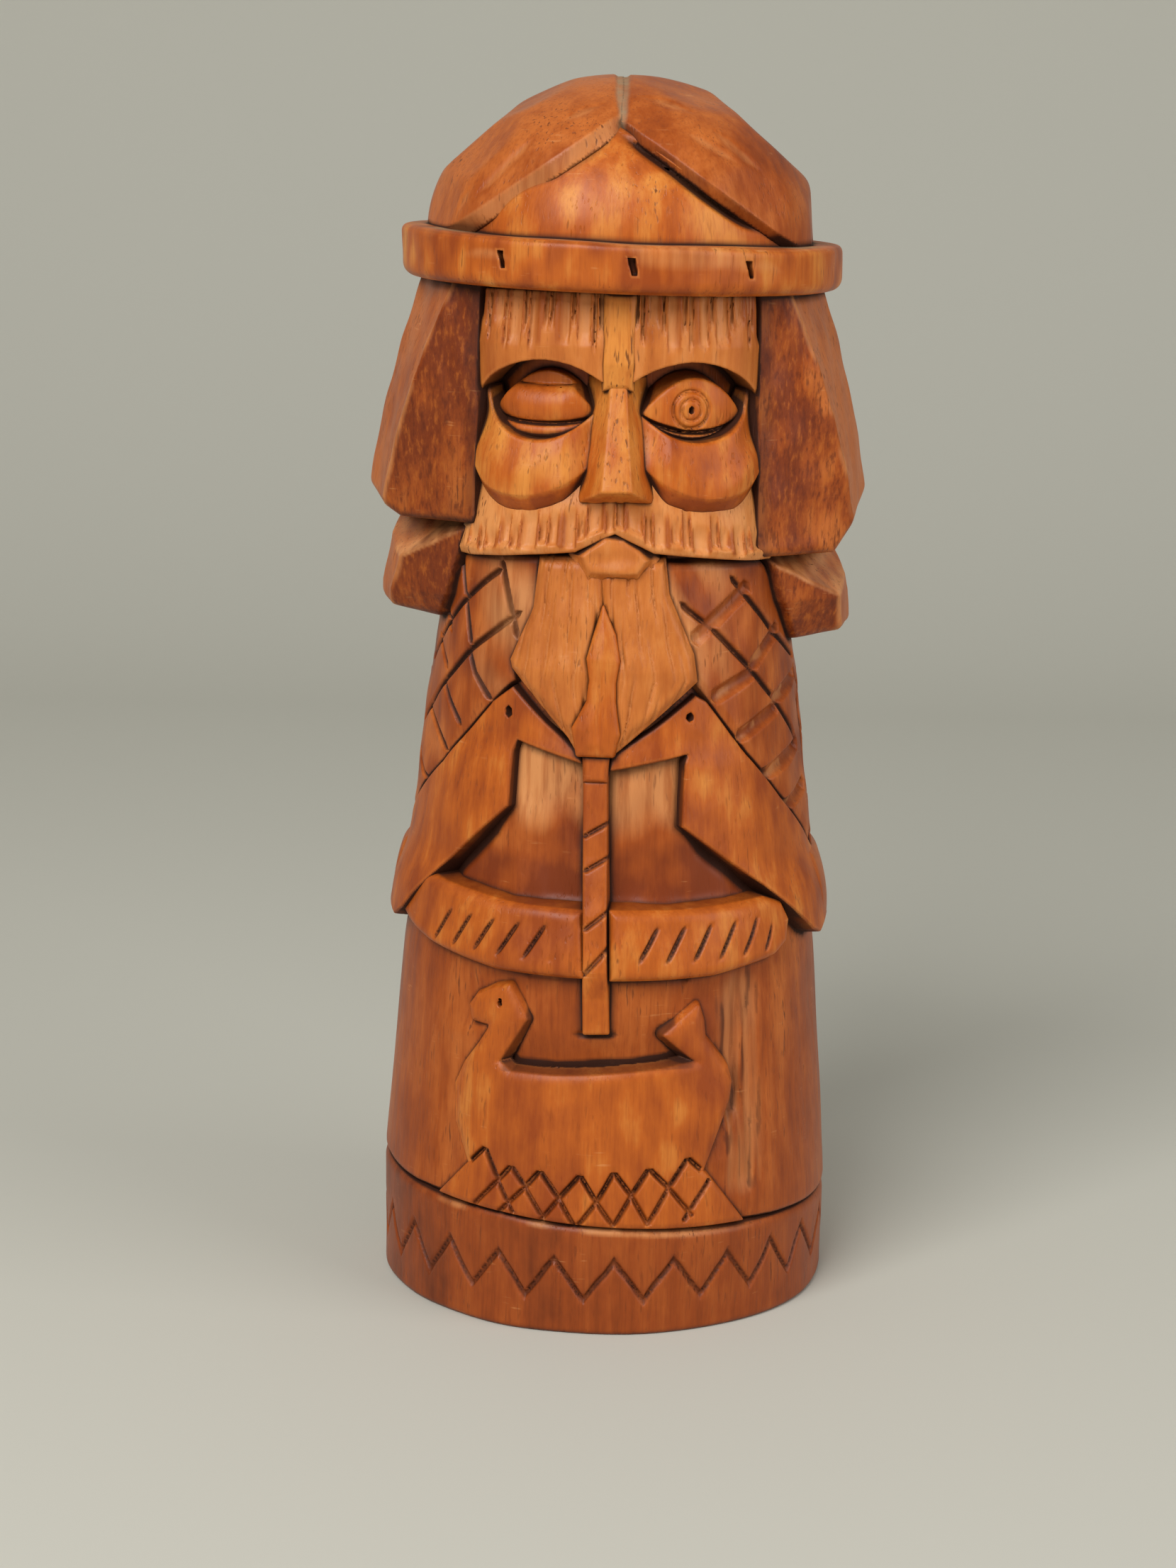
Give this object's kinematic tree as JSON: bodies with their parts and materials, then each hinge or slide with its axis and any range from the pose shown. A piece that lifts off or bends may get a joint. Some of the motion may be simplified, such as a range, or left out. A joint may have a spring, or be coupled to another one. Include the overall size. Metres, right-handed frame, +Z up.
{
  "type": "carved wooden figurine",
  "caption": "Free-standing carved wooden figurine of a helmeted, bearded norse god with ravens, spear, belt and longship in relief on a round trunk.",
  "frame": {"origin": "centre of the flat underside of the foot", "axes": "+Z up the trunk's axis, the face looks along -Y, +X to the viewer's right"},
  "size_m": [0.122, 0.1185, 0.3],
  "materials": {
    "dark_wood": "dark stain, satin varnish",
    "mid_wood": "red-brown stain, satin varnish",
    "gold_wood": "worn golden stain, satin varnish",
    "pale_wood": "pale gouged wood, satin varnish"
  },
  "bodies": {
    "root": {"base_plinth": "dark_wood", "beard_left": "pale_wood", "beard_lock": "gold_wood", "beard_right": "pale_wood", "belt_back": "mid_wood", "belt_left": "gold_wood", "belt_right": "gold_wood", "brow_bar": "gold_wood", "brow_left": "pale_wood", "brow_right": "pale_wood", "cheek_left": "gold_wood", "cheek_right": "gold_wood", "cloak_back": "mid_wood", "cloak_left": "mid_wood", "cloak_right": "mid_wood", "eye_closed": "gold_wood", "eye_open": "gold_wood", "hair_lower_back": "mid_wood", "hair_upper_back": "mid_wood", "helmet_brim": "gold_wood", "helmet_crown": "gold_wood", "helmet_plate_left": "mid_wood", "helmet_plate_right": "mid_wood", "lock_lower_left": "mid_wood", "lock_lower_right": "mid_wood", "lock_upper_left": "mid_wood", "lock_upper_right": "mid_wood", "longship": "gold_wood", "lower_lip": "pale_wood", "moustache": "pale_wood", "nose": "gold_wood", "raven_left": "gold_wood", "raven_right": "gold_wood", "spear_collar": "gold_wood", "spear_shaft": "gold_wood", "trunk": "mid_wood", "wave_band": "gold_wood"}
  },
  "joints": []
}
